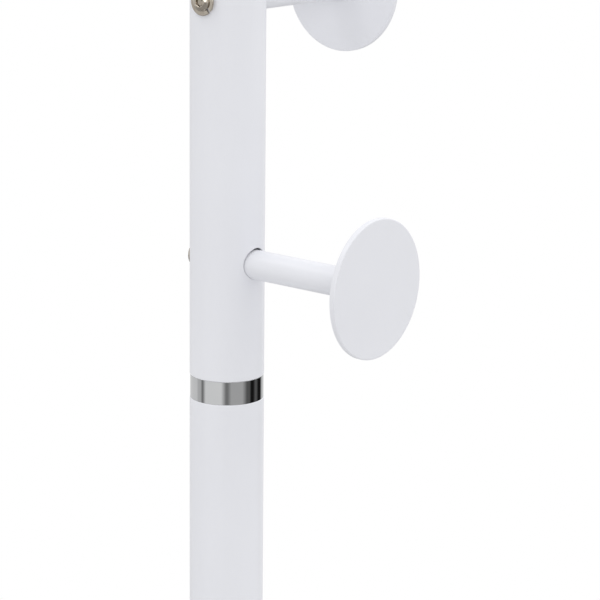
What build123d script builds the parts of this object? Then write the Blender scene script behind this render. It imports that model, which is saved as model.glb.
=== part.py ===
"""Standing coat rack: a two-piece steel pole on a round base, with disc-ended pegs bolted through it."""
import os
from math import atan, cos, radians, sin, tan

from build123d import *

os.makedirs("parts", exist_ok=True)

# Pole tubes
pole_diameter = 38.0
pole_wall = 1.5
lower_tube_length = 942.0
tube_edge_bevel = 0.5

# Ring between the two tubes
ring_height = 12.0
ring_wall = 2.5
ring_recess = 0.25
ring_edge_bevel = 0.2

# Pegs, counted upward from the ring, each turned by the same angle from the one below it
peg_count = 6
peg_pitch = 132.0
peg_turn = 90.0
first_peg_above_ring = 60.0
last_peg_below_top = 60.0
peg_diameter = 15.0
peg_wall = 1.2
peg_hole_clearance = 0.55
disc_back_reach = 92.0
disc_diameter = 70.0
disc_thickness = 3.0
disc_edge_bevel = 0.5

# Threaded insert in the inner end of each peg
insert_length = 14.0

# Bolt and split lock washer on the side of the pole opposite each peg
bolt_diameter = 6.0
bolt_length = 16.0
bolt_head_diameter = 9.5
bolt_head_height = 2.4
bolt_head_rim_height = 0.7
bolt_head_crown_diameter = 5.8
bolt_socket_width = 4.0
bolt_socket_depth = 1.8
bolt_socket_turn = 30.0
bolt_tip_bevel = 0.6
washer_diameter = 14.0
washer_thickness = 1.0
washer_split_width = 1.3
washer_split_angle = -45.0

# Plugs in the tube ends, and the stud that draws the tubes together
plug_depth = 24.0
plug_face_gap = 2.0
plug_edge_bevel = 1.0
stud_diameter = 10.0
stud_engagement = 18.0
stud_edge_bevel = 1.0

# Cap on the top of the pole
cap_height = 3.0
cap_edge_bevel = 1.2
cap_spigot_depth = 16.0
cap_spigot_wall = 1.8

# Base plate, its bolt and washer from below, and the pads it stands on
base_diameter = 360.0
base_thickness = 8.0
base_edge_bevel = 1.5
base_bolt_diameter = 10.0
base_bolt_engagement = 16.0
base_bolt_head_diameter = 17.5
base_bolt_head_height = 5.0
base_bolt_edge_bevel = 1.0
base_bolt_socket_width = 6.0
base_bolt_socket_depth = 3.0
base_bolt_floor_clearance = 1.5
base_washer_diameter = 22.0
base_washer_thickness = 2.0
recess_clearance = 2.0
pad_count = 6
pad_diameter = 24.0
pad_height = 4.0
pad_rim_inset = 12.0

# Fits: radial play of a bolt in a plain hole, of a thread, and of a piece pressed or seated in another
bolt_hole_clearance = 0.3
thread_clearance = 0.1
seat_clearance = 0.05

# Radii and heights that follow from the sizes above
pole_radius = pole_diameter / 2
pole_bore_radius = pole_radius - pole_wall
ring_radius = pole_radius - ring_recess
ring_bore_radius = ring_radius - ring_wall
plug_radius = pole_bore_radius - seat_clearance
peg_radius = peg_diameter / 2
peg_bore_radius = peg_radius - peg_wall
bolt_hole_radius = bolt_diameter / 2 + bolt_hole_clearance
base_bolt_hole_radius = base_bolt_diameter / 2 + bolt_hole_clearance
pad_circle_radius = base_diameter / 2 - pad_rim_inset - pad_diameter / 2
wall_middle_radius = pole_radius - pole_wall / 2
peg_droop = atan((peg_hole_clearance - seat_clearance) / (2 * wall_middle_radius))
base_recess_depth = (
    base_washer_thickness + base_bolt_head_height + base_bolt_floor_clearance - pad_height
)
upper_tube_length = first_peg_above_ring + (peg_count - 1) * peg_pitch + last_peg_below_top
pole_foot = pad_height + base_thickness
ring_bottom = pole_foot + lower_tube_length
ring_top = ring_bottom + ring_height
pole_top = ring_top + upper_tube_length


def keep(piece, name):
    """Label a finished piece and write it under its own name."""
    piece.part.label = name
    export_step(piece.part, f"parts/{name}.step")


def peg_level(number):
    """Height of a peg's hole and of its bolt's hole."""
    return ring_top + first_peg_above_ring + number * peg_pitch


def hole_plane(number):
    """Plane on the pole's axis, square to the way that a peg's two holes are drilled; its Y is up."""
    heading = radians(number * peg_turn)
    return Plane(
        origin=(0, 0, peg_level(number)),
        x_dir=(-sin(heading), cos(heading), 0),
        z_dir=(cos(heading), sin(heading), 0),
    )


def peg_plane(number):
    """Plane on the pole's axis, square to a peg, which is held at its bolt's hole and rests low in its own."""
    heading = radians(number * peg_turn)
    return Plane(
        origin=(0, 0, peg_level(number) - wall_middle_radius * tan(peg_droop)),
        x_dir=(-sin(heading), cos(heading), 0),
        z_dir=(cos(heading) * cos(peg_droop), sin(heading) * cos(peg_droop), -sin(peg_droop)),
    )


def bolt_plane(number, distance):
    """Plane square to a peg's bolt, at a distance from the pole's axis on the side opposite the peg."""
    square_to_peg = peg_plane(number)
    out = -square_to_peg.z_dir
    return Plane(origin=square_to_peg.origin + out * distance, x_dir=-square_to_peg.x_dir, z_dir=out)


def beyond_far_wall(number):
    """The space past the pole's bore on the far side of a peg, which the peg's inner end keeps clear of."""
    across_pole = hole_plane(number)
    with BuildPart() as space:
        with BuildSketch(Plane(origin=across_pole.origin, x_dir=across_pole.z_dir, z_dir=(0, 0, 1))):
            Rectangle(pole_diameter, pole_diameter, align=(Align.MAX, Align.CENTER))
            Circle(pole_bore_radius - seat_clearance, mode=Mode.SUBTRACT)
        extrude(amount=peg_diameter, both=True)
    return space.part


def round_edges(piece):
    """All the circular edges of a piece."""
    return piece.edges().filter_by(GeomType.CIRCLE)


def outer_edges(piece):
    """The largest round edges of a turned piece."""
    return round_edges(piece).group_by(SortBy.RADIUS)[-1]


# Lower tube: plain, standing on the base plate
with BuildPart() as lower_tube:
    with BuildSketch(Plane.XY.offset(pole_foot)):
        Circle(pole_radius)
        Circle(pole_bore_radius, mode=Mode.SUBTRACT)
    extrude(amount=lower_tube_length)
    chamfer(outer_edges(lower_tube), tube_edge_bevel)
keep(lower_tube, "lower_tube")

# Upper tube: a round hole for each peg, and opposite it a smaller one for the peg's bolt
with BuildPart() as upper_tube:
    with BuildSketch(Plane.XY.offset(ring_top)):
        Circle(pole_radius)
        Circle(pole_bore_radius, mode=Mode.SUBTRACT)
    extrude(amount=upper_tube_length)
    chamfer(outer_edges(upper_tube), tube_edge_bevel)
    for number in range(peg_count):
        with BuildSketch(hole_plane(number)):
            Circle(peg_radius + peg_hole_clearance)
        extrude(amount=pole_diameter, mode=Mode.SUBTRACT)
        with BuildSketch(hole_plane(number)):
            Circle(bolt_hole_radius)
        extrude(amount=-pole_diameter, mode=Mode.SUBTRACT)
keep(upper_tube, "upper_tube")

# Bright ring, set in a hair from both tubes and centred on the plugs' spigots
with BuildPart() as joint_ring:
    with BuildSketch(Plane.XY.offset(ring_bottom)):
        Circle(ring_radius)
        Circle(ring_bore_radius, mode=Mode.SUBTRACT)
    extrude(amount=ring_height)
    chamfer(outer_edges(joint_ring), ring_edge_bevel)
keep(joint_ring, "joint_ring")

# Plugs either side of the ring: a body pressed into the tube, a spigot in the ring and a threaded bore
spigot_height = (ring_height - plug_face_gap) / 2
spigot_radius = ring_bore_radius - seat_clearance
stud_bore_radius = stud_diameter / 2 + thread_clearance
for name, tube_end in (
    ("lower_joint_plug", Plane.XY.offset(ring_bottom)),
    ("upper_joint_plug", Plane(origin=(0, 0, ring_top), z_dir=(0, 0, -1))),
):
    with BuildPart() as joint_plug:
        with BuildSketch(tube_end):
            Circle(plug_radius)
        extrude(amount=-plug_depth)
        chamfer(round_edges(joint_plug).sort_by_distance(tube_end.origin)[-1], plug_edge_bevel)
        with BuildSketch(tube_end):
            Circle(spigot_radius)
        extrude(amount=spigot_height)
        with BuildSketch(tube_end):
            Circle(stud_bore_radius)
        extrude(amount=plug_depth + spigot_height, both=True, mode=Mode.SUBTRACT)
    keep(joint_plug, name)

# Stud between the two plugs
with BuildPart() as joint_stud:
    with BuildSketch(Plane.XY.offset(ring_bottom - stud_engagement)):
        Circle(stud_diameter / 2)
    extrude(amount=ring_height + 2 * stud_engagement)
    chamfer(round_edges(joint_stud), stud_edge_bevel)
keep(joint_stud, "joint_stud")

# Cap: a bevelled lid over the tube's end, with a hollow spigot inside the tube
with BuildPart() as top_cap:
    with BuildSketch(Plane.XY.offset(pole_top)):
        Circle(pole_radius)
    extrude(amount=cap_height)
    chamfer(round_edges(top_cap).sort_by(Axis.Z)[-1], cap_edge_bevel)
    with BuildSketch(Plane.XY.offset(pole_top)):
        Circle(plug_radius)
        Circle(plug_radius - cap_spigot_wall, mode=Mode.SUBTRACT)
    extrude(amount=-cap_spigot_depth)
keep(top_cap, "top_cap")

# Pegs: tube, disc, insert, washer and bolt, one set at each level
for number in range(peg_count):
    cut_back = beyond_far_wall(number)
    with BuildPart() as peg_tube:
        with BuildSketch(peg_plane(number).offset(-pole_radius)):
            Circle(peg_radius)
            Circle(peg_bore_radius, mode=Mode.SUBTRACT)
        extrude(amount=pole_radius + disc_back_reach)
        add(cut_back, mode=Mode.SUBTRACT)
    keep(peg_tube, f"peg_tube_{number + 1}")

    with BuildPart() as peg_disc:
        with BuildSketch(peg_plane(number).offset(disc_back_reach)):
            Circle(disc_diameter / 2)
        extrude(amount=disc_thickness)
        chamfer(round_edges(peg_disc), disc_edge_bevel)
    keep(peg_disc, f"peg_disc_{number + 1}")

    with BuildPart() as peg_insert:
        with BuildSketch(peg_plane(number).offset(-pole_radius)):
            Circle(peg_bore_radius - seat_clearance)
            Circle(bolt_diameter / 2 + thread_clearance, mode=Mode.SUBTRACT)
        extrude(amount=pole_wall + insert_length)
        add(cut_back, mode=Mode.SUBTRACT)
    keep(peg_insert, f"peg_insert_{number + 1}")

    washer_face = pole_radius + seat_clearance + washer_diameter / 2 * sin(peg_droop)
    with BuildPart() as peg_washer:
        with BuildSketch(bolt_plane(number, washer_face)):
            Circle(washer_diameter / 2)
            Circle(bolt_hole_radius, mode=Mode.SUBTRACT)
            Rectangle(washer_diameter, washer_split_width, rotation=washer_split_angle,
                      align=(Align.MIN, Align.CENTER), mode=Mode.SUBTRACT)
        extrude(amount=washer_thickness)
    keep(peg_washer, f"peg_washer_{number + 1}")

    head_face = washer_face + washer_thickness
    with BuildPart() as peg_bolt:
        with BuildSketch(bolt_plane(number, head_face)):
            Circle(bolt_head_diameter / 2)
        extrude(amount=bolt_head_rim_height)
        with BuildSketch(bolt_plane(number, head_face + bolt_head_rim_height)):
            Circle(bolt_head_diameter / 2)
        with BuildSketch(bolt_plane(number, head_face + bolt_head_height)):
            Circle(bolt_head_crown_diameter / 2)
        loft()
        with BuildSketch(bolt_plane(number, head_face + bolt_head_height)):
            RegularPolygon(bolt_socket_width / 2, 6, major_radius=False, rotation=bolt_socket_turn)
        extrude(amount=-bolt_socket_depth, mode=Mode.SUBTRACT)
        with BuildSketch(bolt_plane(number, head_face)):
            Circle(bolt_diameter / 2)
        extrude(amount=-bolt_length)
        tip = bolt_plane(number, head_face - bolt_length).origin
        chamfer(round_edges(peg_bolt).sort_by_distance(tip)[0], bolt_tip_bevel)
    keep(peg_bolt, f"peg_bolt_{number + 1}")

# Base plate: a thick round plate, recessed underneath for the bolt that holds the pole
with BuildPart() as base_plate:
    with BuildSketch(Plane.XY.offset(pad_height)):
        Circle(base_diameter / 2)
    extrude(amount=base_thickness)
    chamfer(round_edges(base_plate), base_edge_bevel)
    with Locations(Plane(origin=(0, 0, pad_height), z_dir=(0, 0, -1))):
        CounterBoreHole(base_bolt_hole_radius, base_washer_diameter / 2 + recess_clearance, base_recess_depth)
keep(base_plate, "base_plate")

# Plug in the foot of the lower tube, threaded for the base bolt
with BuildPart() as base_plug:
    with BuildSketch(Plane.XY.offset(pole_foot)):
        Circle(plug_radius)
        Circle(base_bolt_diameter / 2 + thread_clearance, mode=Mode.SUBTRACT)
    extrude(amount=plug_depth)
    chamfer(outer_edges(base_plug).sort_by(Axis.Z)[-1], plug_edge_bevel)
keep(base_plug, "base_plug")

# Washer and bolt in the recess under the plate
recess_ceiling = pad_height + base_recess_depth
base_head_face = recess_ceiling - base_washer_thickness
with BuildPart() as base_washer:
    with BuildSketch(Plane.XY.offset(base_head_face)):
        Circle(base_washer_diameter / 2)
        Circle(base_bolt_hole_radius, mode=Mode.SUBTRACT)
    extrude(amount=base_washer_thickness)
keep(base_washer, "base_washer")

with BuildPart() as base_bolt:
    with BuildSketch(Plane.XY.offset(base_head_face)):
        Circle(base_bolt_head_diameter / 2)
    extrude(amount=-base_bolt_head_height)
    chamfer(round_edges(base_bolt).sort_by(Axis.Z)[0], base_bolt_edge_bevel)
    with BuildSketch(Plane.XY.offset(base_head_face - base_bolt_head_height)):
        RegularPolygon(base_bolt_socket_width / 2, 6, major_radius=False)
    extrude(amount=base_bolt_socket_depth, mode=Mode.SUBTRACT)
    with BuildSketch(Plane.XY.offset(base_head_face)):
        Circle(base_bolt_diameter / 2)
    extrude(amount=pole_foot + base_bolt_engagement - base_head_face)
    chamfer(round_edges(base_bolt).sort_by(Axis.Z)[-1], base_bolt_edge_bevel)
keep(base_bolt, "base_bolt")

# Soft pads on a circle near the rim of the plate
for number in range(pad_count):
    bearing = radians(number * 360 / pad_count)
    with BuildPart() as foot_pad:
        with BuildSketch(Plane.XY):
            with Locations((pad_circle_radius * cos(bearing), pad_circle_radius * sin(bearing))):
                Circle(pad_diameter / 2)
        extrude(amount=pad_height)
    keep(foot_pad, f"foot_pad_{number + 1}")
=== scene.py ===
# %% [markdown]
# # A white standing coat rack
#
# The photograph looks closely at one joint of a steel coat rack: a white pole in two lengths, a bright ring
# where they meet, and two pegs with flat round ends. The rest of the rack follows the same rules. The
# solids come in as a fixed frame, in metres, with the pole's axis on Z and the floor at zero. This script
# gives each piece its fine shape and its finish, and takes the sizes from the frame.

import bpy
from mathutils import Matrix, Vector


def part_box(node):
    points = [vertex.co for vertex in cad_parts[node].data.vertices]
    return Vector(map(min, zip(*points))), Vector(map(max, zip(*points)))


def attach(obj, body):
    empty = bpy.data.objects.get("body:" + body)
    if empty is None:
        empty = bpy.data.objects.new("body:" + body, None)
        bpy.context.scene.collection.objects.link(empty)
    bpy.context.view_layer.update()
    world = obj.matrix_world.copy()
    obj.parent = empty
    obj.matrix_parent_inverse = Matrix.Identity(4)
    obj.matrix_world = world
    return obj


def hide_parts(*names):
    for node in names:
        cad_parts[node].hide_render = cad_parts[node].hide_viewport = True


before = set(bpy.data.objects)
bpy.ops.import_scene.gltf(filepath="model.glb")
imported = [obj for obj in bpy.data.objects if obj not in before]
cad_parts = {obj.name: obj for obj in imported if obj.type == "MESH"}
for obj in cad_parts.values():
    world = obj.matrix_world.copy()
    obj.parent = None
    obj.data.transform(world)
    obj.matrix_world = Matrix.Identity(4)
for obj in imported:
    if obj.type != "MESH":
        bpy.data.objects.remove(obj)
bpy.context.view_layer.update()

# %% [markdown]
# ## Reading sizes from the frame
#
# A turned piece is known by its radius and its two end heights. The corners of a CAD mesh lie on the true
# surface, even where its facets are coarse, so the farthest corner from the axis gives the radius exactly.
# Measuring here, instead of writing the numbers again, keeps the looks in step with the solids.

# %% Tools and the measuring helpers
import cmath
from math import asin, cos, pi, radians, sin, tan

import bmesh
import bpy
import numpy as np
from mathutils import Matrix, Vector

MM = 0.001
PLACE_DIGITS = 7
POLE_AXIS = (np.zeros(3), np.array((0.0, 0.0, 1.0)))


def corners_of(node):
    """The places of a CAD node's corners, each place once."""
    places = [corner.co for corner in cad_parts[node].data.vertices]
    return np.unique(np.round(places, PLACE_DIGITS), axis=0)


def radii(node, line):
    """Smallest and largest distance of a CAD node's corners from a line, given as a point and a direction."""
    point, along = line
    apart = corners_of(node) - point
    apart -= np.outer(apart @ along, along)
    away = np.linalg.norm(apart, axis=1)
    return away.min(), away.max()


def ends(node, line):
    """Where a CAD node begins and ends along a line."""
    point, along = line
    reach = (corners_of(node) - point) @ along
    return reach.min(), reach.max()


print(len(corners_of("joint_ring")), "corners on the ring's solid")

# %% The pole's sizes
pole_bore, pole_radius = radii("lower_tube", POLE_AXIS)
pole_foot, ring_bottom = ends("lower_tube", POLE_AXIS)
ring_top, pole_top = ends("upper_tube", POLE_AXIS)
print(f"pole {2 * pole_radius / MM:.1f} mm across, bore {2 * pole_bore / MM:.1f} mm,",
      f"ring from {ring_bottom:.3f} to {ring_top:.3f} m, top at {pole_top:.3f} m")

# %% [markdown]
# ### The pegs hang a little
#
# A peg's hole has to be wider than the peg, or the painted peg would not go in. The bolt holds the peg at
# the far wall, so its disc end sinks until it rests on the hole's lower edge. The photograph shows this:
# every peg points a little down, with a dark crescent above it. The flat disc's thinnest direction gives
# that slope from the frame.

# %% The pegs' sizes
PEGS = range(1, 1 + sum(name.startswith("peg_tube_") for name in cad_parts))
disc_middles = [corners_of(f"peg_disc_{number}").mean(axis=0) for number in PEGS]
disc_spread = np.linalg.svd(corners_of("peg_disc_1") - disc_middles[0], full_matrices=False)[2]
along_peg = disc_spread[2] * np.sign(disc_spread[2][0])
droop = asin(-along_peg[2])
first_level = disc_middles[0][2] + disc_middles[0][0] * tan(droop)
PEG_AXIS = (np.array((0.0, 0.0, first_level)), along_peg)
peg_pitch = disc_middles[1][2] - disc_middles[0][2]
peg_turn = cmath.phase(complex(*disc_middles[1][:2]) / complex(*disc_middles[0][:2]))
peg_bore, peg_radius = radii("peg_tube_1", PEG_AXIS)
disc_radius = radii("peg_disc_1", PEG_AXIS)[1]
disc_back, disc_front = ends("peg_disc_1", PEG_AXIS)
print(f"{len(PEGS)} pegs, {peg_pitch / MM:.0f} mm and {peg_turn / pi * 180:.0f} degrees apart,",
      f"{2 * peg_radius / MM:.1f} mm thick with {2 * disc_radius / MM:.0f} mm discs,",
      f"hanging {droop / pi * 180:.2f} degrees")

# %% [markdown]
# ## The camera
#
# The photograph was taken with a long lens from a little above the ring, looking slightly down. The pole's
# edges, the ring's two ellipses and the discs' outlines fix where the camera stood: on the side between the
# lowest peg and the bolts, about 1.35 m from the pole. The camera is turned, not shifted, so other views of
# the rack stay true.

# %% Place the camera
PHOTO_WIDTH_PX = 600.0
FOCAL_LENGTH_PX = 2742.3
camera_distance = 1.3533
camera_above_ring = 0.3719
camera_side = radians(39.72)
camera_yaw = -0.02733
camera_pitch = 0.23734
camera_roll = 0.00948

camera_data = bpy.data.cameras.new("camera")
camera_data.sensor_width = 36.0
camera_data.lens = camera_data.sensor_width * FOCAL_LENGTH_PX / PHOTO_WIDTH_PX
camera = bpy.data.objects.new("camera", camera_data)
bpy.context.scene.collection.objects.link(camera)
camera_place = Vector((sin(camera_side) * camera_distance, -cos(camera_side) * camera_distance,
                       (ring_bottom + ring_top) / 2 + camera_above_ring))
camera.matrix_world = (Matrix.Translation(camera_place)
                       @ Matrix.Rotation(camera_side + camera_yaw, 4, "Z")
                       @ Matrix.Rotation(pi / 2 - camera_pitch, 4, "X")
                       @ Matrix.Rotation(camera_roll, 4, "Z"))
bpy.context.scene.camera = camera
print(f"camera {camera_place.z:.2f} m above the floor with a {camera_data.lens:.0f} mm lens")

# %% [markdown]
# ## Finishes
#
# A finish could be a picture wrapped round the piece, but a picture has seams and one fixed sharpness. Here
# every finish is worked out by nodes from Object coordinates, which are metres in the frame, so a pattern's
# scale can be given as a real size. A short helper makes one noise pattern and another spreads its grey
# values between two limits. Values that are the same all over go straight on the shader.

# %% Helpers for finishes
NOISE_LOW, NOISE_HIGH = 0.3, 0.7


def new_finish(name):
    """A material with an empty Principled shader, and its node tree."""
    material = bpy.data.materials.new(name)
    material.use_nodes = True
    return material, material.node_tree, material.node_tree.nodes["Principled BSDF"]


def grain(tree, size, stretch=(1, 1, 1), detail=2.0):
    """A noise pattern whose grains are about one size across, in metres, and stretched along the axes."""
    place = tree.nodes.new("ShaderNodeTexCoord")
    scale = tree.nodes.new("ShaderNodeMapping")
    noise = tree.nodes.new("ShaderNodeTexNoise")
    scale.inputs["Scale"].default_value = [1 / (size * factor) for factor in stretch]
    noise.inputs["Scale"].default_value = 1.0
    noise.inputs["Detail"].default_value = detail
    tree.links.new(place.outputs["Object"], scale.inputs["Vector"])
    tree.links.new(scale.outputs["Vector"], noise.inputs["Vector"])
    return noise.outputs["Fac"]


def spread(tree, pattern, low, high, socket):
    """Spread a grey pattern between two numbers and feed it to a shader's socket."""
    band = tree.nodes.new("ShaderNodeMapRange")
    band.inputs["From Min"].default_value = NOISE_LOW
    band.inputs["From Max"].default_value = NOISE_HIGH
    band.inputs["To Min"].default_value = low
    band.inputs["To Max"].default_value = high
    tree.links.new(pattern, band.inputs["Value"])
    tree.links.new(band.outputs["Result"], socket)


def tint(tree, pattern, dark, light, socket):
    """Spread a grey pattern between two colours and feed it to a shader's socket."""
    ramp = tree.nodes.new("ShaderNodeValToRGB")
    ramp.color_ramp.elements[0].position = NOISE_LOW
    ramp.color_ramp.elements[1].position = NOISE_HIGH
    ramp.color_ramp.elements[0].color = (*dark, 1)
    ramp.color_ramp.elements[1].color = (*light, 1)
    tree.links.new(pattern, ramp.inputs["Fac"])
    tree.links.new(ramp.outputs["Color"], socket)


def raise_grain(tree, pattern, height, strength, shader):
    """Let a pattern stand off the surface by a height in metres."""
    bump = tree.nodes.new("ShaderNodeBump")
    bump.inputs["Distance"].default_value = height
    bump.inputs["Strength"].default_value = strength
    tree.links.new(pattern, bump.inputs["Height"])
    tree.links.new(bump.outputs["Normal"], shader.inputs["Normal"])


print(f"greys from {NOISE_LOW} to {NOISE_HIGH} are spread over each finish")

# %% [markdown]
# ### Powder coat
#
# The white is a baked powder coat: satin, slightly cool, and never quite even. Up close it has a faint
# orange peel with waves about a millimetre long, and over a hand's width its tone drifts a little. Two
# noise patterns give these, one as bump and one as colour, with a third that lets the gloss wander.

# %% White powder coat
powder_coat, tree, shader = new_finish("white_powder_coat")
tint(tree, grain(tree, 90 * MM), (0.775, 0.782, 0.822), (0.795, 0.802, 0.842), shader.inputs["Base Color"])
spread(tree, grain(tree, 14 * MM), 0.30, 0.38, shader.inputs["Roughness"])
raise_grain(tree, grain(tree, 1.1 * MM), 0.04 * MM, 0.25, shader)
print("powder coat:", len(tree.nodes), "nodes")

# %% [markdown]
# ### Bright metals and the hidden steel
#
# The ring is polished chrome, turned on a lathe, so what haze it has runs round it: the noise is squeezed
# along the pole's axis. The peg bolts and washers are nickel plated and a little warm. The screws and plugs
# that nobody sees are plain zinc-plated steel with the soft cloudy bloom that zinc gets.

# %% Chrome, nickel and zinc
chrome, tree, shader = new_finish("bright_chrome")
shader.inputs["Metallic"].default_value = 1.0
tint(tree, grain(tree, 20 * MM), (0.60, 0.61, 0.62), (0.64, 0.645, 0.65), shader.inputs["Base Color"])
spread(tree, grain(tree, 4 * MM, stretch=(4, 4, 0.08)), 0.02, 0.05, shader.inputs["Roughness"])

nickel, tree, shader = new_finish("nickel_plate")
shader.inputs["Metallic"].default_value = 1.0
tint(tree, grain(tree, 3 * MM), (0.42, 0.37, 0.31), (0.56, 0.51, 0.44), shader.inputs["Base Color"])
spread(tree, grain(tree, 0.8 * MM), 0.08, 0.16, shader.inputs["Roughness"])
raise_grain(tree, grain(tree, 0.5 * MM), 0.02 * MM, 0.3, shader)

zinc, tree, shader = new_finish("zinc_plate")
shader.inputs["Metallic"].default_value = 1.0
bloom = grain(tree, 5 * MM, detail=5.0)
tint(tree, bloom, (0.46, 0.48, 0.51), (0.62, 0.63, 0.65), shader.inputs["Base Color"])
spread(tree, grain(tree, 2 * MM), 0.32, 0.5, shader.inputs["Roughness"])
print("metals:", chrome.name, nickel.name, zinc.name)

# %% [markdown]
# ### Rubber and plastic
#
# The foot pads are moulded black rubber: matt, with a fine tooth. The cap on top of the pole is a white
# plastic moulding in nearly the pole's own white, a little more even and a little duller than the powder
# coat.

# %% Rubber and cap plastic
rubber, tree, shader = new_finish("pad_rubber")
tint(tree, grain(tree, 6 * MM), (0.018, 0.018, 0.019), (0.035, 0.035, 0.037), shader.inputs["Base Color"])
spread(tree, grain(tree, 3 * MM), 0.7, 0.85, shader.inputs["Roughness"])
raise_grain(tree, grain(tree, 0.4 * MM, detail=4.0), 0.05 * MM, 0.5, shader)

cap_plastic, tree, shader = new_finish("cap_plastic")
tint(tree, grain(tree, 30 * MM), (0.765, 0.775, 0.80), (0.78, 0.79, 0.815), shader.inputs["Base Color"])
spread(tree, grain(tree, 5 * MM), 0.42, 0.5, shader.inputs["Roughness"])
raise_grain(tree, grain(tree, 0.35 * MM), 0.02 * MM, 0.3, shader)
print("soft finishes:", rubber.name, cap_plastic.name)

# %% [markdown]
# ## Turned pieces
#
# Almost everything on this rack is round, as if made on a lathe. So one way of making suits most of it:
# draw half of the section, round its corners, and carry it round the axis. Blender's Screw modifier could
# do the carrying, but rows of points written in code can also be coped, split and threaded, which the next
# pieces need. A corner is rounded with an arc, and a support point just outside each end of the arc keeps
# the flat beside it flat when the surface is shaded smooth.

# %% Sections with rounded corners
CORNER_STEPS = 6
SUPPORT = 0.25 * MM
FINE_SUPPORT = 0.1 * MM


def rounded_section(corners, steps=CORNER_STEPS, support=SUPPORT):
    """Points of a section whose corners are (distance from axis, height, rounding radius)."""
    points = []
    for index, (across, height, radius) in enumerate(corners):
        corner = complex(across, height)
        if not radius:
            points.append(corner)
            continue
        before = complex(*corners[index - 1][:2]) - corner
        after = complex(*corners[(index + 1) % len(corners)][:2]) - corner
        before, after = before / abs(before), after / abs(after)
        half_angle = abs(cmath.phase(after / before)) / 2
        reach = radius / tan(half_angle)
        centre = corner + (before + after) / abs(before + after) * radius / sin(half_angle)
        first = corner + before * reach - centre
        turn = cmath.phase((corner + after * reach - centre) / first)
        points.append(corner + before * (reach + support))
        points += [centre + first * cmath.exp(1j * turn * step / steps) for step in range(steps + 1)]
        points.append(corner + after * (reach + support))
    return [(point.real, point.imag) for point in points]


print("a rounded corner has", len(rounded_section([(0, 0, 0), (1, 0, MM), (1, 1, 0)])) - 2, "points")

# %% Skins made of rows of points
SHARP_ANGLE = radians(35)
ROUND_SIDES = 192
MERGE_DISTANCE = 0.0001 * MM


def skin(name, rows, ring=True):
    """A closed smooth mesh over rows of points that each go once round, joined end to end or capped."""
    rows = np.array(rows)
    count, sides = rows.shape[:2]
    points = list(rows.reshape(-1, 3))
    faces = []
    for row in range(count if ring else count - 1):
        here, there = row * sides, (row + 1) % count * sides
        for side in range(sides):
            after = (side + 1) % sides
            faces.append((here + side, here + after, there + after, there + side))
    if not ring:
        for row in (0, count - 1):
            middle = len(points)
            points.append(rows[row].mean(axis=0))
            faces += [(row * sides + side, row * sides + (side + 1) % sides, middle) for side in range(sides)]
    mesh = bpy.data.meshes.new(name)
    mesh.from_pydata(points, [], faces)
    return smooth_object(name, mesh)


def smooth_object(name, mesh):
    """An object at the origin whose faces look outward and are smooth except over sharp edges."""
    shell = bmesh.new()
    shell.from_mesh(mesh)
    bmesh.ops.remove_doubles(shell, verts=shell.verts, dist=MERGE_DISTANCE)
    bmesh.ops.recalc_face_normals(shell, faces=shell.faces)
    shell.to_mesh(mesh)
    shell.free()
    mesh.shade_smooth()
    mesh.set_sharp_from_angle(angle=SHARP_ANGLE)
    piece = bpy.data.objects.new(name, mesh)
    bpy.context.scene.collection.objects.link(piece)
    return piece


def turned(name, section, ring=True, sides=ROUND_SIDES):
    """A section carried round the Z axis: a ring, or a solid whose section starts and ends near the axis."""
    turns = np.arange(sides) * 2 * pi / sides
    rows = [[(across * cos(turn), across * sin(turn), height) for turn in turns]
            for across, height in section]
    return skin(name, rows, ring)


print("a turned piece has", ROUND_SIDES, "sides")

# %% [markdown]
# ## The pole and its ring
#
# Both lengths of the pole are the same steel tube with slightly rounded ends. The ring between them is a
# hair narrower than the tubes, so each tube ends in a fine lit shoulder beside it. All three are plain
# turned rings. The upper tube is still blank here: its holes come next.

# %% Lower tube, blank of the upper tube, and ring
TUBE_EDGE = 0.5 * MM
TUBE_INNER_EDGE = 0.2 * MM
RING_EDGE = 0.06 * MM
ring_bore, ring_radius = radii("joint_ring", POLE_AXIS)


def tube_section(bottom, top, bore, radius, outer_edge, levels=()):
    """Half section of a tube; extra levels on its outside keep later cuts from reaching along it."""
    corners = [(bore, bottom, TUBE_INNER_EDGE), (radius, bottom, outer_edge)]
    corners += [(radius, level, 0) for level in levels]
    corners += [(radius, top, outer_edge), (bore, top, TUBE_INNER_EDGE)]
    corners += [(bore, level, 0) for level in reversed(levels)]
    return rounded_section(corners)


lower_tube = turned("lower_tube_finish", tube_section(
    pole_foot, ring_bottom, pole_bore, pole_radius, TUBE_EDGE))
joint_ring = turned("joint_ring_finish", tube_section(
    ring_bottom, ring_top, ring_bore, ring_radius, RING_EDGE))
HOLE_MARGIN = 14 * MM
hole_rise = (pole_radius + pole_bore) / 2 * tan(droop)
hole_levels = [first_level + hole_rise + peg_pitch * (number - 1) + side
               for number in PEGS for side in (-HOLE_MARGIN, HOLE_MARGIN)]
upper_tube = turned("upper_tube_finish", tube_section(
    ring_top, pole_top, pole_bore, pole_radius, TUBE_EDGE, hole_levels))
print("pole:", len(lower_tube.data.polygons), "+", len(upper_tube.data.polygons), "faces before drilling")

# %% [markdown]
# ### One spiral for everything on the pegs
#
# The pegs climb the pole in a spiral: each set stands one pitch higher than the last and a quarter turn
# further round. Copies could be placed one by one, but the holes, tubes, discs, washers and bolts all
# follow that same rule. So one Geometry Nodes tree holds it: a line of points up the axis, with a copy of a
# given piece on each, turned by its place in the line. A tree's inputs are set on its modifier, and its
# result is kept as a plain mesh.

# %% Helpers to build and run a tree


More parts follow.
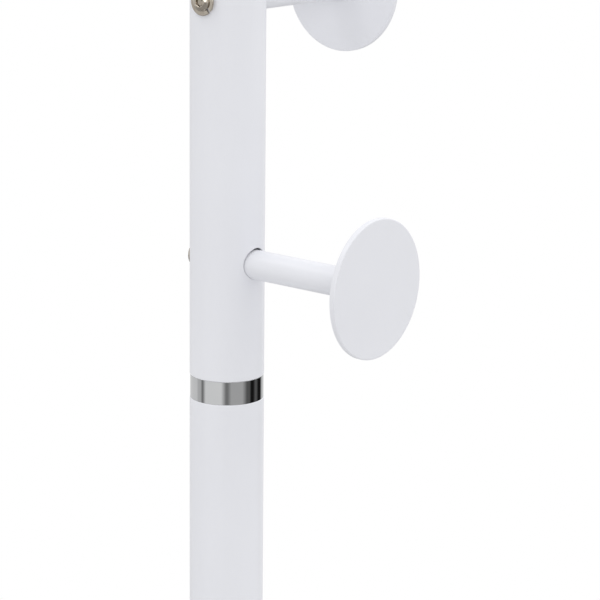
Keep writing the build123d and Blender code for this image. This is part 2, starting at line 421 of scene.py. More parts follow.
def new_tree(name, inputs):
    """An empty Geometry Nodes tree with named inputs, and the nodes at its two ends."""
    tree = bpy.data.node_groups.new(name, "GeometryNodeTree")
    tree.interface.new_socket("Geometry", in_out="OUTPUT", socket_type="NodeSocketGeometry")
    for label, kind in inputs.items():
        tree.interface.new_socket(label, in_out="INPUT", socket_type=f"NodeSocket{kind}")
    return tree, tree.nodes.new("NodeGroupInput"), tree.nodes.new("NodeGroupOutput")


def run_tree(tree, holder, values):
    """Run a tree on an object with these input values, and leave the result in it as a plain mesh."""
    modifier = holder.modifiers.new(tree.name, "NODES")
    modifier.node_group = tree
    for socket in tree.interface.items_tree:
        if socket.in_out == "INPUT" and socket.name in values:
            modifier[socket.identifier] = values[socket.name]
    graph = bpy.context.evaluated_depsgraph_get()
    mesh = bpy.data.meshes.new_from_object(holder.evaluated_get(graph), depsgraph=graph)
    holder.modifiers.clear()
    holder.data = mesh
    return holder


print("helpers ready:", new_tree.__name__, "and", run_tree.__name__)

# %% The spiral tree
SPIRAL_INPUTS = {"Piece": "Object", "Count": "Int", "First Level": "Float", "Pitch": "Float", "Turn": "Float",
                 "Finish": "Material"}
spiral, given, result = new_tree("peg_spiral", SPIRAL_INPUTS)
line = spiral.nodes.new("GeometryNodeMeshLine")
start = spiral.nodes.new("ShaderNodeCombineXYZ")
step = spiral.nodes.new("ShaderNodeCombineXYZ")
place_in_line = spiral.nodes.new("GeometryNodeInputIndex")
angle = spiral.nodes.new("ShaderNodeMath")
angle.operation = "MULTIPLY"
heading = spiral.nodes.new("ShaderNodeCombineXYZ")
pattern_piece = spiral.nodes.new("GeometryNodeObjectInfo")
copies = spiral.nodes.new("GeometryNodeInstanceOnPoints")
realize = spiral.nodes.new("GeometryNodeRealizeInstances")
paint = spiral.nodes.new("GeometryNodeSetMaterial")
for source, target in (
    (given.outputs["First Level"], start.inputs["Z"]), (given.outputs["Pitch"], step.inputs["Z"]),
    (given.outputs["Count"], line.inputs["Count"]), (start.outputs[0], line.inputs["Start Location"]),
    (step.outputs[0], line.inputs["Offset"]), (place_in_line.outputs[0], angle.inputs[0]),
    (given.outputs["Turn"], angle.inputs[1]), (angle.outputs[0], heading.inputs["Z"]),
    (given.outputs["Piece"], pattern_piece.inputs["Object"]), (line.outputs[0], copies.inputs["Points"]),
    (pattern_piece.outputs["Geometry"], copies.inputs["Instance"]),
    (heading.outputs[0], copies.inputs["Rotation"]),
    (copies.outputs[0], realize.inputs[0]), (realize.outputs[0], paint.inputs["Geometry"]),
    (given.outputs["Finish"], paint.inputs["Material"]), (paint.outputs[0], result.inputs[0]),
):
    spiral.links.new(source, target)
SPIRAL_VALUES = {"Count": len(PEGS), "First Level": first_level, "Pitch": peg_pitch, "Turn": peg_turn}


def up_the_spiral(name, pattern, finish):
    """One mesh with a copy of a pattern piece at every peg; the pattern is used up."""
    holder = bpy.data.objects.new(name, bpy.data.meshes.new(name))
    bpy.context.scene.collection.objects.link(holder)
    run_tree(spiral, holder, {**SPIRAL_VALUES, "Piece": pattern, "Finish": finish})
    bpy.data.objects.remove(pattern)
    return holder


print("spiral tree:", len(spiral.nodes), "nodes,", len(SPIRAL_INPUTS), "inputs")

# %% [markdown]
# ### Drilling the upper tube
#
# Each peg passes through a round hole in the near wall, and its bolt through a smaller one in the far wall.
# Both are drilled level, at the height where the bolt holds the hanging peg, so the peg lies low in its own
# hole. A second tree uses the spiral on one pair of drills and cuts all twelve holes from the blank at
# once.

# %% A pair of drills
PEG_HOLE_PLAY = 0.55 * MM
BOLT_HOLE_RADIUS = 3.3 * MM
DRILL_SIDES = 96
DRILL_START, DRILL_END = pole_radius / 3, pole_radius * 1.5
LEVEL_TO_PEG = Matrix(((0, 0, 1), (1, 0, 0), (0, 1, 0))).to_4x4()
LEVEL_TO_BOLT = Matrix(((0, 0, -1), (-1, 0, 0), (0, 1, 0))).to_4x4()
RAISE = Matrix.Translation((0, 0, hole_rise))
HANG = Matrix.Rotation(droop, 4, "Y")


def laid(piece, lie):
    """Lay a piece that was turned about Z another way, with its place kept in its mesh."""
    piece.data.transform(lie)
    return piece


def drill(name, radius, lie):
    """A plain cutter from inside the pole to outside it, laid level at the holes' height."""
    rod = turned(name, [(radius, DRILL_START), (radius, DRILL_END)], ring=False, sides=DRILL_SIDES)
    return laid(rod, RAISE @ lie)


peg_drill = drill("drills", peg_radius + PEG_HOLE_PLAY, LEVEL_TO_PEG)
bolt_drill = drill("bolt_drill", BOLT_HOLE_RADIUS, LEVEL_TO_BOLT)
both = bmesh.new()
both.from_mesh(peg_drill.data)
both.from_mesh(bolt_drill.data)
both.to_mesh(peg_drill.data)
both.free()
bpy.data.objects.remove(bolt_drill)
print("drills:", len(peg_drill.data.polygons), "faces")

# %% Drill along the spiral
drilling, given, result = new_tree("drilled_tube", {"Blank": "Geometry", **SPIRAL_INPUTS})
drills = drilling.nodes.new("GeometryNodeGroup")
drills.node_tree = spiral
cut = drilling.nodes.new("GeometryNodeMeshBoolean")
cut.operation = "DIFFERENCE"
paint = drilling.nodes.new("GeometryNodeSetMaterial")
for label in SPIRAL_INPUTS:
    drilling.links.new(given.outputs[label], drills.inputs[label])
drilling.links.new(given.outputs["Blank"], cut.inputs["Mesh 1"])
drilling.links.new(drills.outputs["Geometry"], cut.inputs["Mesh 2"])
drilling.links.new(cut.outputs["Mesh"], paint.inputs["Geometry"])
drilling.links.new(given.outputs["Finish"], paint.inputs["Material"])
drilling.links.new(paint.outputs["Geometry"], result.inputs["Geometry"])
run_tree(drilling, upper_tube, {**SPIRAL_VALUES, "Piece": peg_drill, "Finish": powder_coat})
bpy.data.objects.remove(peg_drill)
upper_tube.data.shade_smooth()
upper_tube.data.set_sharp_from_angle(angle=SHARP_ANGLE)
print("drilled tube:", len(upper_tube.data.polygons), "faces")

# %% [markdown]
# ## Pegs
#
# A peg is a short tube with a flat disc welded over its outer end. Its inner end is coped: cut to the curve
# of the pole's far wall, so that it beds against it when the bolt pulls. The cope is a rule, so each point
# of the tube's inner end is moved back until it meets that wall. The disc is thin plate with softly rounded
# edges under the paint.

# %% Peg tubes
COPE_PLAY = 0.05 * MM
PEG_SIDES = 96


def far_wall(across, above):
    """Where along the hanging peg the pole's far wall lies, at a place beside and above the peg's middle."""
    level_depth = ((pole_bore - COPE_PLAY) ** 2 - across ** 2) ** 0.5
    return -(level_depth + above * sin(droop)) / cos(droop)


turns = np.arange(PEG_SIDES) * 2 * pi / PEG_SIDES
rows = [[(far_wall(radius * cos(turn), radius * sin(turn)) if inner else disc_back,
          radius * cos(turn), radius * sin(turn)) for turn in turns] for radius, inner in
        ((peg_bore, True), (peg_radius, True), (peg_radius, False), (peg_bore, False))]
peg_tubes = up_the_spiral("peg_tubes_finish", laid(skin("peg_tube", rows), HANG), powder_coat)
print("peg tubes:", len(peg_tubes.data.polygons), "faces")

# %% Peg discs
DISC_EDGE = 0.7 * MM
disc_section = rounded_section([(0, disc_back, 0), (disc_radius, disc_back, DISC_EDGE),
                                (disc_radius, disc_front, DISC_EDGE), (0, disc_front, 0)])[1:-1]
peg_discs = up_the_spiral("peg_discs_finish", laid(turned("peg_disc", disc_section, ring=False),
                                                   HANG @ LEVEL_TO_PEG), powder_coat)
print("peg discs:", len(peg_discs.data.polygons), "faces")

# %% [markdown]
# ## Bolts and washers
#
# On the side opposite each peg a button-head bolt with a hexagon socket sits on a split lock washer. The
# washer is a bar bent into a ring that doesn't quite close. The bolt is one skin: up the threaded shank,
# over the domed head and down into the socket. A thread is a wave in the radius that moves round as it
# moves along.

# %% Split washers
WASHER_SPLIT = 1.3 * MM
WASHER_SPLIT_ANGLE = radians(-45)
WASHER_EDGE = 0.25 * MM
WASHER_STEPS = 120
washer_radius = radii("peg_washer_1", PEG_AXIS)[1]
washer_face, washer_seat = [-value for value in ends("peg_washer_1", PEG_AXIS)]
bar = rounded_section([
    (BOLT_HOLE_RADIUS, washer_seat, WASHER_EDGE), (washer_radius, washer_seat, WASHER_EDGE),
    (washer_radius, washer_face, WASHER_EDGE), (BOLT_HOLE_RADIUS, washer_face, WASHER_EDGE),
], support=FINE_SUPPORT)


def bar_at(share):
    """The bar's section a share of the way round from one side of the split to the other."""
    row = []
    for across, height in bar:
        half_split = asin(WASHER_SPLIT / 2 / across)
        turn = WASHER_SPLIT_ANGLE + half_split + share * (2 * pi - 2 * half_split)
        row.append((across * cos(turn), across * sin(turn), height))
    return row


washer = skin("peg_washer", [bar_at(step / WASHER_STEPS) for step in range(WASHER_STEPS + 1)], ring=False)
peg_washers = up_the_spiral("peg_washers_finish", laid(washer, HANG @ LEVEL_TO_BOLT), nickel)
print("washers:", len(peg_washers.data.polygons), "faces")

# %% Threads and sockets
BOLT_SIDES = 72
BOLT_TURNS = np.arange(BOLT_SIDES) * 2 * pi / BOLT_SIDES
SIX_FLATS = pi / 3
THREAD_DEPTH = 0.6
THREAD_FLAT = 0.1
THREAD_STEPS = 8


def circle_row(radius, height):
    """A row of points round the axis."""
    return [(radius * cos(turn), radius * sin(turn), height) for turn in BOLT_TURNS]


def hexagon_row(width, height):
    """A row of points round a hexagon of this width across its flats, with a corner on the first point."""
    row = []
    for turn in BOLT_TURNS:
        radius = width / 2 / cos(turn % SIX_FLATS - SIX_FLATS / 2)
        row.append((radius * cos(turn), radius * sin(turn), height))
    return row


def thread_rows(radius, pitch, bottom, top, ends_tapered=1):
    """Rows of a threaded shank: a wave in the radius that goes once round for each pitch that it climbs."""
    rows = []
    for height in np.arange(bottom, top, pitch / THREAD_STEPS):
        limit = radius - max(0.0, pitch - (height - bottom))
        if ends_tapered == 2:
            limit = min(limit, radius - max(0.0, pitch - (top - height)))
        row = []
        for turn in BOLT_TURNS:
            wave = abs((height / pitch - turn / (2 * pi)) % 1 - 0.5) * 2
            groove = min(1.0, max(0.0, (1 + 2 * THREAD_FLAT) * wave - THREAD_FLAT))
            around = min(limit, radius - THREAD_DEPTH * pitch * groove)
            row.append((around * cos(turn), around * sin(turn), height))
        rows.append(row)
    return rows


print("one turn of thread takes", THREAD_STEPS, "rows of", BOLT_SIDES, "points")

# %% Peg bolts
BOLT_RADIUS = 3.0 * MM
BOLT_PITCH = 1.0 * MM
BOLT_LENGTH = 16.0 * MM
HEAD_RIM = 0.7 * MM
CROWN_RADIUS = 2.9 * MM
SOCKET_WIDTH = 4.0 * MM
SOCKET_DEPTH = 1.8 * MM
SOCKET_BEVEL = 0.3 * MM
SOCKET_TURN = Matrix.Rotation(radians(30), 4, "Z")
SOCKET_POINT = 0.4 * MM
HEAD_EDGE = 0.3 * MM
EDGE_MIDDLE = 0.3
CROWN_FLAT = 0.2 * MM
DOME_STEPS = 10
head_top, head_seat = -ends("peg_bolt_1", PEG_AXIS)[0], washer_face
head_radius = radii("peg_bolt_1", PEG_AXIS)[1]
rim_top = head_seat + HEAD_RIM
dome_centre = ((CROWN_RADIUS ** 2 + head_top ** 2 - head_radius ** 2 - rim_top ** 2)
               / (2 * (head_top - rim_top)))
dome_radius = (head_radius ** 2 + (rim_top - dome_centre) ** 2) ** 0.5
dome = [(head_radius + (CROWN_RADIUS - head_radius) * step / DOME_STEPS) for step in range(DOME_STEPS + 1)]
bolt_rows = thread_rows(BOLT_RADIUS, BOLT_PITCH, head_seat - BOLT_LENGTH, head_seat - BOLT_PITCH)
bolt_rows += [circle_row(BOLT_RADIUS, head_seat - BOLT_PITCH), circle_row(BOLT_RADIUS, head_seat)]
bolt_rows += [circle_row(head_radius - HEAD_EDGE, head_seat),
              circle_row(head_radius - HEAD_EDGE * EDGE_MIDDLE, head_seat + HEAD_EDGE * EDGE_MIDDLE),
              circle_row(head_radius, head_seat + HEAD_EDGE)]
bolt_rows += [circle_row(radius, dome_centre + (dome_radius ** 2 - radius ** 2) ** 0.5) for radius in dome]
bolt_rows += [circle_row(CROWN_RADIUS - CROWN_FLAT, head_top),
              hexagon_row(SOCKET_WIDTH + 2 * SOCKET_BEVEL, head_top),
              hexagon_row(SOCKET_WIDTH, head_top - SOCKET_BEVEL),
              hexagon_row(SOCKET_WIDTH, head_top - SOCKET_DEPTH),
              circle_row(SOCKET_WIDTH / 4, head_top - SOCKET_DEPTH - SOCKET_POINT)]
bolt = skin("peg_bolt", bolt_rows, ring=False)
peg_bolts = up_the_spiral("peg_bolts_finish", laid(bolt, HANG @ LEVEL_TO_BOLT @ SOCKET_TURN), nickel)
print("bolts:", len(peg_bolts.data.polygons), "faces")

# %% [markdown]
# ## Base, stud and cap
#
# The rack stands on a thick round plate in the same white. A bolt comes up through it from below into the
# pole's foot, in a recess that keeps its head off the floor, and a ring of rubber pads carries the plate. A
# threaded stud draws the two tubes together inside the ring, and a cap closes the top. None of these are in
# the photograph.

# %% Base plate
PLATE_EDGE = 1.8 * MM
RECESS_EDGE = 0.4 * MM
RECESS_RADIUS = 13.0 * MM
PLATE_SIDES = 256
base_hole, base_radius = radii("base_plate", POLE_AXIS)
plate_bottom, plate_top = ends("base_plate", POLE_AXIS)
recess_ceiling = ends("base_washer", POLE_AXIS)[1]
base_plate = turned("base_plate_finish", rounded_section([
    (base_hole, plate_top, RECESS_EDGE), (base_hole, recess_ceiling, 0),
    (RECESS_RADIUS, recess_ceiling, RECESS_EDGE), (RECESS_RADIUS, plate_bottom, RECESS_EDGE),
    (base_radius, plate_bottom, PLATE_EDGE), (base_radius, plate_top, PLATE_EDGE),
]), sides=PLATE_SIDES)
print(f"base plate: {2 * base_radius:.2f} m across, {len(base_plate.data.polygons)} faces")

# %% Base washer
BASE_WASHER_EDGE = 0.3 * MM
BASE_WASHER_HOLE_EDGE = 0.2 * MM
washer_low, washer_high = ends("base_washer", POLE_AXIS)
washer_reach = radii("base_washer", POLE_AXIS)[1]
base_washer = turned("base_washer_finish", rounded_section([
    (base_hole, washer_low, BASE_WASHER_HOLE_EDGE), (washer_reach, washer_low, BASE_WASHER_EDGE),
    (washer_reach, washer_high, BASE_WASHER_EDGE), (base_hole, washer_high, BASE_WASHER_HOLE_EDGE),
], support=FINE_SUPPORT))
print("base washer:", len(base_washer.data.polygons), "faces")

# %% Base bolt
BASE_BOLT_RADIUS = 5.0 * MM
BASE_BOLT_PITCH = 1.5 * MM
BASE_SOCKET_WIDTH = 6.0 * MM
BASE_SOCKET_DEPTH = 3.0 * MM
BASE_SOCKET_BEVEL = 0.2 * MM
BASE_SOCKET_POINT = 0.5 * MM
BASE_HEAD_EDGE = 1.0 * MM
head_low, tip = ends("base_bolt", POLE_AXIS)
base_head = radii("base_bolt", POLE_AXIS)[1]
shank = thread_rows(BASE_BOLT_RADIUS, BASE_BOLT_PITCH, -tip, -washer_low - BASE_BOLT_PITCH)
base_rows = shank + [circle_row(BASE_BOLT_RADIUS, -washer_low - BASE_BOLT_PITCH),
                     circle_row(BASE_BOLT_RADIUS, -washer_low), circle_row(base_head, -washer_low),
                     circle_row(base_head, -head_low - BASE_HEAD_EDGE)]
base_rows += [circle_row(base_head - BASE_HEAD_EDGE * (1 - cos(turn)),
                         -head_low - BASE_HEAD_EDGE * (1 - sin(turn)))
              for turn in np.linspace(0, pi / 2, CORNER_STEPS + 1)]
base_rows += [hexagon_row(BASE_SOCKET_WIDTH + 2 * BASE_SOCKET_BEVEL, -head_low),
              hexagon_row(BASE_SOCKET_WIDTH, -head_low - BASE_SOCKET_BEVEL),
              hexagon_row(BASE_SOCKET_WIDTH, -head_low - BASE_SOCKET_DEPTH),
              circle_row(BASE_SOCKET_WIDTH / 4, -head_low - BASE_SOCKET_DEPTH - BASE_SOCKET_POINT)]
base_bolt = laid(skin("base_bolt_finish", base_rows, ring=False), Matrix.Rotation(pi, 4, "X"))
print("base bolt:", len(base_bolt.data.polygons), "faces")

# %% Stud and cap
CAP_EDGE = 1.3 * MM
CAP_CROWN = 0.3 * MM
CAP_LIP_EDGE = 0.2 * MM
CAP_SPIGOT_WALL = 1.8 * MM
CAP_SPIGOT_EDGE = 0.3 * MM
stud_low, stud_high = ends("joint_stud", POLE_AXIS)
stud_radius = radii("joint_stud", POLE_AXIS)[1]
joint_stud = skin("joint_stud_finish", thread_rows(
    stud_radius, BASE_BOLT_PITCH, stud_low, stud_high, ends_tapered=2), ring=False)
cap_low, cap_high = ends("top_cap", POLE_AXIS)
spigot = pole_bore - COPE_PLAY
cap_section = rounded_section([
    (0, pole_top, 0), (spigot - CAP_SPIGOT_WALL, pole_top, 0),
    (spigot - CAP_SPIGOT_WALL, cap_low, CAP_SPIGOT_EDGE), (spigot, cap_low, CAP_SPIGOT_EDGE),
    (spigot, pole_top, 0), (pole_radius, pole_top, CAP_LIP_EDGE),
    (pole_radius, cap_high - CAP_CROWN, CAP_EDGE), (0, cap_high, 0),
])[1:]
top_cap = turned("top_cap_finish", cap_section, ring=False)
print("stud:", len(joint_stud.data.polygons), "faces; cap:", len(top_cap.data.polygons), "faces")

# %% [markdown]
# ### A ring of pads
#
# The pads repeat round the plate, so a third small Geometry Nodes tree sets copies of one pad on the points
# of a circle. The pad itself is a turned piece: flat on top, round at the foot, with a shallow dish
# underneath so that it grips at its rim.

# %% One foot pad
PADS = [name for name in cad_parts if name.startswith("foot_pad_")]
PAD_EDGE = 1.0 * MM
PAD_TOP_EDGE = 0.2 * MM
PAD_LIP_EDGE = 0.5 * MM
PAD_DISH = 0.5 * MM
PAD_LIP, PAD_DISH_REACH = 0.7, 0.55
PAD_SIDES = 96
pad_low, pad_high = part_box(PADS[0])
pad_circle = (sum((sum(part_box(name), Vector()) / 2).xy.length for name in PADS)) / len(PADS)
pad_radius = (pad_high.y - pad_low.y) / 2
pad = turned("foot_pad", rounded_section([
    (0, pad_high.z, 0), (pad_radius, pad_high.z, PAD_TOP_EDGE), (pad_radius, pad_low.z, PAD_EDGE),
    (pad_radius * PAD_LIP, pad_low.z, PAD_LIP_EDGE),
    (pad_radius * PAD_DISH_REACH, pad_low.z + PAD_DISH, PAD_LIP_EDGE), (0, pad_low.z + PAD_DISH, 0),
])[1:-1], ring=False, sides=PAD_SIDES)
print("one pad:", len(pad.data.polygons), "faces")

# %% Set the pads round the plate
pad_ring, given, result = new_tree("pad_ring", {"Piece": "Object", "Count": "Int", "Radius": "Float",
                                                "Finish": "Material"})
circle = pad_ring.nodes.new("GeometryNodeMeshCircle")
pattern_piece = pad_ring.nodes.new("GeometryNodeObjectInfo")
copies = pad_ring.nodes.new("GeometryNodeInstanceOnPoints")
realize = pad_ring.nodes.new("GeometryNodeRealizeInstances")
paint = pad_ring.nodes.new("GeometryNodeSetMaterial")
for source, target in (
    (given.outputs["Count"], circle.inputs["Vertices"]), (given.outputs["Radius"], circle.inputs["Radius"]),
    (given.outputs["Piece"], pattern_piece.inputs["Object"]), (circle.outputs[0], copies.inputs["Points"]),
    (pattern_piece.outputs["Geometry"], copies.inputs["Instance"]), (copies.outputs[0], realize.inputs[0]),
    (realize.outputs[0], paint.inputs["Geometry"]), (given.outputs["Finish"], paint.inputs["Material"]),
    (paint.outputs[0], result.inputs[0]),
):
    pad_ring.links.new(source, target)
foot_pads = bpy.data.objects.new("foot_pads_finish", bpy.data.meshes.new("foot_pads_finish"))
bpy.context.scene.collection.objects.link(foot_pads)
run_tree(pad_ring, foot_pads, {"Piece": pad, "Count": len(PADS), "Radius": pad_circle, "Finish": rubber})
bpy.data.objects.remove(pad)
print(len(PADS), "pads on a circle of", round(pad_circle, 4), "m")

# %% [markdown]
# ## Handing the pieces to the frame
#
# Each finished piece is listed with its finish, a name for that finish and the solids it stands for. It takes
# the finish, hangs from the rack's root, and those solids are hidden. The plugs and inserts stay as they are:
# nobody sees them, their solids are already right, and they only need their steel.

# %% Dress the frame
PEG_PIECES = ("peg_tube", "peg_disc", "peg_washer", "peg_bolt")
numbered = {kind: [f"{kind}_{number}" for number in PEGS] for kind in PEG_PIECES}
dressing = (
    (lower_tube, powder_coat, "white_powder_coat", ["lower_tube"]),
    (upper_tube, powder_coat, "white_powder_coat", ["upper_tube"]),
    (joint_ring, chrome, "bright_chrome", ["joint_ring"]),
    (peg_tubes, powder_coat, "white_powder_coat", numbered["peg_tube"]),
    (peg_discs, powder_coat, "white_powder_coat", numbered["peg_disc"]),
    (peg_washers, nickel, "nickel_bolts", numbered["peg_washer"]),
    (peg_bolts, nickel, "nickel_bolts", numbered["peg_bolt"]),
    (base_plate, powder_coat, "white_powder_coat", ["base_plate"]),
    (base_washer, zinc, "plain_steel", ["base_washer"]),
    (base_bolt, zinc, "plain_steel", ["base_bolt"]),
    (joint_stud, zinc, "plain_steel", ["joint_stud"]),
    (top_cap, cap_plastic, "cap_plastic", ["top_cap"]),
    (foot_pads, rubber, "pad_rubber", PADS),
)
dressed = set()
for piece, finish, slot, nodes in dressing:
    piece.data.materials.clear()
    piece.data.materials.append(finish)
    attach(piece, "root")
    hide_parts(*nodes)
    dressed.update(nodes)
left_as_solids = sorted(set(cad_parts) - dressed)
for name in left_as_solids:
    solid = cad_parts[name]
    solid.data.materials.clear()
    solid.data.materials.append(zinc)
print(len(dressing), "pieces stand for", len(dressed), "nodes;", len(left_as_solids), "solids stay")

# %% [markdown]
# ## Floor
#
# The rack stands in a white studio. A round pale floor takes its shadow and fades out towards its edge,
# where the white surroundings take over. Seen from below it is clear, so that the underside of the base can
# be looked at. In mirrors it is dimmer, as ground outside the lights is: the lower sides of the bolts'
# domed heads show that.

# %% Floor
FLOOR_RADIUS = 2.0
FLOOR_SIDES = 96
floor_turns = np.arange(FLOOR_SIDES) * 2 * pi / FLOOR_SIDES
floor_rim = [(FLOOR_RADIUS * cos(turn), FLOOR_RADIUS * sin(turn), 0) for turn in floor_turns]
floor_mesh = bpy.data.meshes.new("floor")
floor_mesh.from_pydata(floor_rim, [], [tuple(range(FLOOR_SIDES))])
floor = bpy.data.objects.new("floor", floor_mesh)
bpy.context.scene.collection.objects.link(floor)
print("floor:", 2 * FLOOR_RADIUS, "m across")

# %% Floor paint
FLOOR_FADE_START, FLOOR_FADE_END = 1.0, 1.96
FLOOR_GREY = (0.68, 0.68, 0.68, 1)
GROUND_LIGHT = 0.45
floor_paint, tree, shader = new_finish("studio_floor")
shader.inputs["Base Color"].default_value = FLOOR_GREY
shader.inputs["Roughness"].default_value = 0.9
shader.inputs["Specular IOR Level"].default_value = 0.1
place = tree.nodes.new("ShaderNodeTexCoord")
out_from_middle = tree.nodes.new("ShaderNodeVectorMath")
out_from_middle.operation = "LENGTH"
fade = tree.nodes.new("ShaderNodeMapRange")
fade.interpolation_type = "SMOOTHSTEP"
fade.inputs["From Min"].default_value = FLOOR_FADE_START
fade.inputs["From Max"].default_value = FLOOR_FADE_END
side_seen = tree.nodes.new("ShaderNodeNewGeometry")
clear = tree.nodes.new("ShaderNodeBsdfTransparent")
either = tree.nodes.new("ShaderNodeMath")
either.operation = "MAXIMUM"
blend = tree.nodes.new("ShaderNodeMixShader")
tree.links.new(place.outputs["Object"], out_from_middle.inputs[0])
tree.links.new(out_from_middle.outputs["Value"], fade.inputs["Value"])
tree.links.new(fade.outputs["Result"], either.inputs[0])
tree.links.new(side_seen.outputs["Backfacing"], either.inputs[1])
tree.links.new(either.outputs["Value"], blend.inputs["Fac"])
mirrored = tree.nodes.new("ShaderNodeEmission")
mirrored.inputs["Color"].default_value = (GROUND_LIGHT, GROUND_LIGHT, GROUND_LIGHT, 1)
paths = tree.nodes.new("ShaderNodeLightPath")
for_metal = tree.nodes.new("ShaderNodeMixShader")
tree.links.new(paths.outputs["Is Glossy Ray"], for_metal.inputs["Fac"])
tree.links.new(shader.outputs["BSDF"], for_metal.inputs[1])
tree.links.new(mirrored.outputs["Emission"], for_metal.inputs[2])
tree.links.new(for_metal.outputs["Shader"], blend.inputs[1])
tree.links.new(clear.outputs["BSDF"], blend.inputs[2])
tree.links.new(blend.outputs["Shader"], tree.nodes["Material Output"].inputs["Surface"])
floor_mesh.materials.append(floor_paint)
print("floor paint:", len(tree.nodes), "nodes")

# %% [markdown]
# ## Light
#
# The even tone of the white pole all the way round says that the photograph was taken in a white tent, and
# the bright tops of the pegs say that the strongest light comes from high up. So the world is one even
# white, and three lamps stand in it. A very large soft one is high behind the rack, on the right: it
# lightens the backs of the discs and leaves no hard shadow beside the pegs. A smaller one is high on the
# left, and a weak low one beside the camera fills the front. Lamps that are far away light the top of the
# rack no more than its foot. Each lamp has its bearing from the camera, its height over the horizon, its
# strength and its width, with all angles in degrees.

# %% Lamps
LAMPS = (
    ("lamp_left", -80, 60, 0.58, 30),
    ("lamp_front", 0, 15, 0.42, 30),
    ("lamp_behind", 120, 45, 1.13, 100),
)
for name, bearing, height, strength, softness in LAMPS:
    lamp_data = bpy.data.lights.new(name, "SUN")
    lamp_data.energy = strength
    lamp_data.angle = radians(softness)
    lamp = bpy.data.objects.new(name, lamp_data)
    bpy.context.scene.collection.objects.link(lamp)
    lamp.matrix_world = (Matrix.Rotation(camera_side + radians(bearing), 4, "Z")
                         @ Matrix.Rotation(pi / 2 - radians(height), 4, "X"))
print("lamps:", ", ".join(f"{name} {strength}" for name, bearing, height, strength, softness in LAMPS))

# %% [markdown]
# ### What the chrome sees
#
# White paint only feels how much light there is, but a polished ring shows what stands round it. A picture
# of a studio could be wrapped round the scene, but a few plain screens are enough: a large white one on the
# left, a dim wall behind the camera, and an open dark side on the right. They are only a band just under
# the horizon, which a level mirror shows to a camera that looks down a little. Under the band mirrors see
# the dim ground. Heights are sines of the angle over the horizon. Each screen has the bearings of its two
# sides, in degrees to the right of the camera, and its brightness. Between two screens the tone runs over
# from one to the other.

# %% Tent and screens
TENT_LIGHT = 0.775
BAND_MIDDLE, BAND_FULL, BAND_END = -0.27, 0.06, 0.12
GROUND_START, GROUND_FULL = -0.25, -0.45
WHITE, DULL, GREY, WALL, GAP, DARK, BLACK = 0.85, 0.76, 0.57, 0.49, 0.23, 0.12, 0.01
SCREENS = (
    ("tent on the left", -180, -110, DULL),
    ("grey side of a screen", -101, -91, GREY),
    ("slit between screens", -84, -81, GAP),
    ("large white screen", -70, -18, WHITE),
    ("gap beside the camera", -3, 3, GAP),
    ("wall behind the camera", 14, 50, WALL),
    ("dark curtain", 66, 76, DARK),
    ("open door", 82, 92, BLACK),
    ("stand in the dark", 102, 106, DARK),
    ("open room", 116, 130, BLACK),
    ("tent on the right", 144, 180, DULL),
)
world = bpy.data.worlds.new("studio")
bpy.context.scene.world = world
world.use_nodes = True
tree = world.node_tree
sky = tree.nodes["Background"]
look = tree.nodes.new("ShaderNodeTexCoord")
face_camera = tree.nodes.new("ShaderNodeMapping")
face_camera.inputs["Rotation"].default_value = (0, 0, pi / 2 - camera_side)
round_about = tree.nodes.new("ShaderNodeTexGradient")
round_about.gradient_type = "RADIAL"
screens = tree.nodes.new("ShaderNodeValToRGB")
screen_sides = sorted({(side, level) for name, left, right, level in SCREENS for side in (left, right)})
while len(screens.color_ramp.elements) < len(screen_sides):
    screens.color_ramp.elements.new(1.0)
for stop, (bearing, level) in zip(screens.color_ramp.elements, screen_sides):
    stop.position = bearing / 360 + 0.5
    stop.color = (level, level, level, 1)
tree.links.new(look.outputs["Generated"], face_camera.inputs["Vector"])
tree.links.new(face_camera.outputs["Vector"], round_about.inputs["Vector"])
tree.links.new(round_about.outputs["Fac"], screens.inputs["Fac"])
print(len(SCREENS), "screens:", ", ".join(name for name, left, right, level in SCREENS))

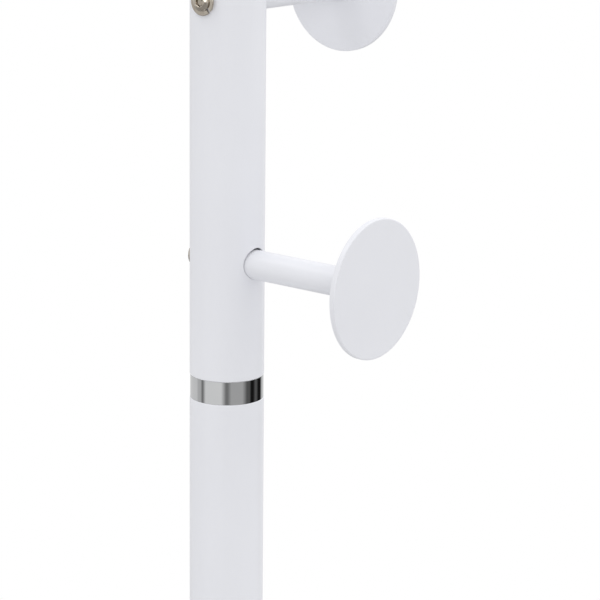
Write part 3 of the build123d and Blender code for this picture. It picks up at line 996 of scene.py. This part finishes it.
# %% Where the band and the ground lie
split = tree.nodes.new("ShaderNodeSeparateXYZ")
from_band = tree.nodes.new("ShaderNodeMath")
from_band.operation = "SUBTRACT"
from_band.inputs[1].default_value = BAND_MIDDLE
apart = tree.nodes.new("ShaderNodeMath")
apart.operation = "ABSOLUTE"
in_band = tree.nodes.new("ShaderNodeMapRange")
on_ground = tree.nodes.new("ShaderNodeMapRange")
for share, full, none in ((in_band, BAND_FULL, BAND_END), (on_ground, GROUND_FULL, GROUND_START)):
    share.interpolation_type = "SMOOTHSTEP"
    share.inputs["From Min"].default_value = full
    share.inputs["From Max"].default_value = none
    share.inputs["To Min"].default_value = 1.0
    share.inputs["To Max"].default_value = 0.0
for source, target in (
    (look.outputs["Generated"], split.inputs["Vector"]), (split.outputs["Z"], from_band.inputs[0]),
    (from_band.outputs[0], apart.inputs[0]), (apart.outputs[0], in_band.inputs["Value"]),
    (split.outputs["Z"], on_ground.inputs["Value"]),
):
    tree.links.new(source, target)
print(f"band of screens round a height of {BAND_MIDDLE}, ground below {GROUND_START}")

# %% Who sees what
paths = tree.nodes.new("ShaderNodeLightPath")
mirrored = tree.nodes.new("ShaderNodeMath")
mirrored.operation = "MULTIPLY"
mirrored_ground = tree.nodes.new("ShaderNodeMath")
mirrored_ground.operation = "MULTIPLY"
seen = tree.nodes.new("ShaderNodeMath")
seen.operation = "MAXIMUM"
tent_or_ground = tree.nodes.new("ShaderNodeMix")
for_metal = tree.nodes.new("ShaderNodeMix")
for_camera = tree.nodes.new("ShaderNodeMix")
COLOR_A, COLOR_B, COLOR_RESULT = 6, 7, 2
for mix in (tent_or_ground, for_metal, for_camera):
    mix.data_type = "RGBA"
tent_or_ground.inputs[COLOR_A].default_value = (TENT_LIGHT, TENT_LIGHT, TENT_LIGHT, 1)
tent_or_ground.inputs[COLOR_B].default_value = (GROUND_LIGHT, GROUND_LIGHT, GROUND_LIGHT, 1)
for_camera.inputs[COLOR_B].default_value = (1, 1, 1, 1)
for source, target in (
    (in_band.outputs["Result"], mirrored.inputs[0]), (paths.outputs["Is Glossy Ray"], mirrored.inputs[1]),
    (on_ground.outputs["Result"], mirrored_ground.inputs[0]),
    (paths.outputs["Is Glossy Ray"], mirrored_ground.inputs[1]),
    (mirrored_ground.outputs[0], tent_or_ground.inputs["Factor"]),
    (tent_or_ground.outputs[COLOR_RESULT], for_metal.inputs[COLOR_A]),
    (mirrored.outputs[0], for_metal.inputs["Factor"]), (screens.outputs["Color"], for_metal.inputs[COLOR_B]),
    (paths.outputs["Is Camera Ray"], seen.inputs[0]), (paths.outputs["Is Transmission Ray"], seen.inputs[1]),
    (seen.outputs[0], for_camera.inputs["Factor"]),
    (for_metal.outputs[COLOR_RESULT], for_camera.inputs[COLOR_A]),
    (for_camera.outputs[COLOR_RESULT], sky.inputs["Color"]),
):
    tree.links.new(source, target)
bpy.context.scene.view_settings.view_transform = "Standard"
print("world:", len(tree.nodes), "nodes")
